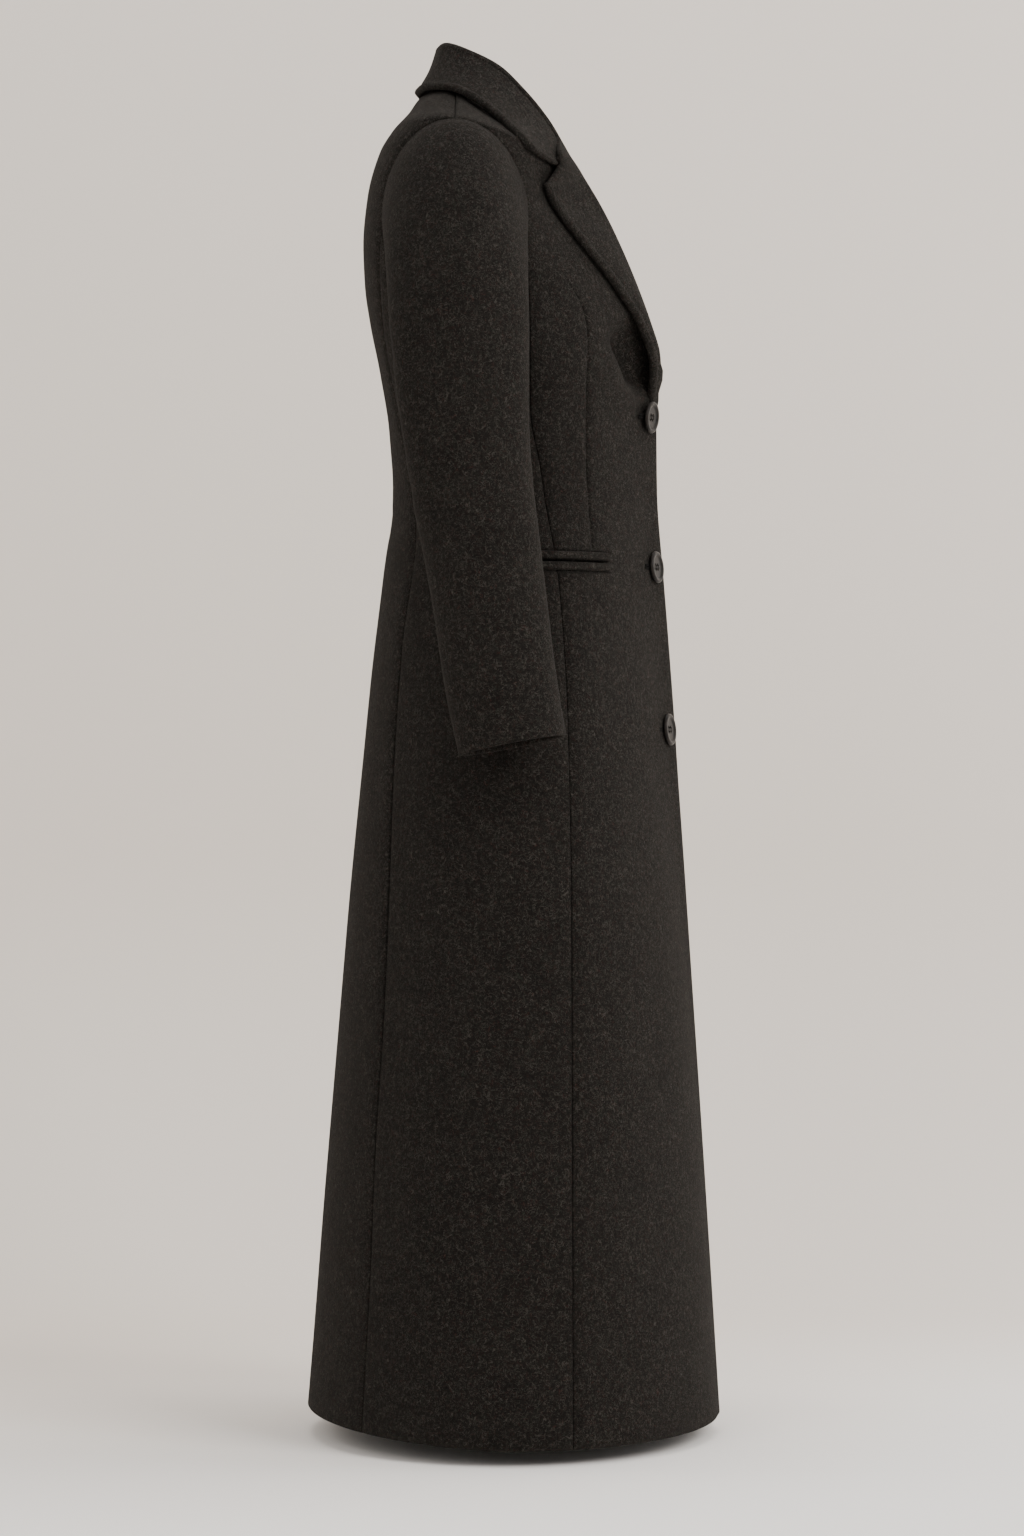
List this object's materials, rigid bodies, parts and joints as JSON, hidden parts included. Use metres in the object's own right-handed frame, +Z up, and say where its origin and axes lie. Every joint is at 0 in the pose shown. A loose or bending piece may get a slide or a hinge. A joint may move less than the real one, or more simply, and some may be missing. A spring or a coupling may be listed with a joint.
{
  "type": "long coat",
  "caption": "Long fitted wool coat with notched lapels, turned-down collar, set-in sleeves and a flared skirt, filled out as if worn.",
  "frame": {"origin": "base of the neck, on the line of the shoulder seams", "axes": "+Z up, front faces -Y, wearer's right is -X"},
  "size_m": [0.6278, 0.41, 1.3653],
  "materials": {
    "wool": "matt charcoal felted wool with fine paler fibres",
    "button": "dark semi-gloss horn-like resin"
  },
  "bodies": {
    "root": {"front_right": "wool", "front_left": "wool", "side_right": "wool", "side_left": "wool", "back_right": "wool", "back_left": "wool", "top_sleeve_right": "wool", "top_sleeve_left": "wool", "under_sleeve_right": "wool", "under_sleeve_left": "wool", "collar": "wool", "lapel_right": "wool", "lapel_left": "wool", "welt_upper_right": "wool", "welt_lower_right": "wool", "welt_upper_left": "wool", "welt_lower_left": "wool", "button_1": "button", "button_2": "button", "button_3": "button"}
  },
  "joints": []
}
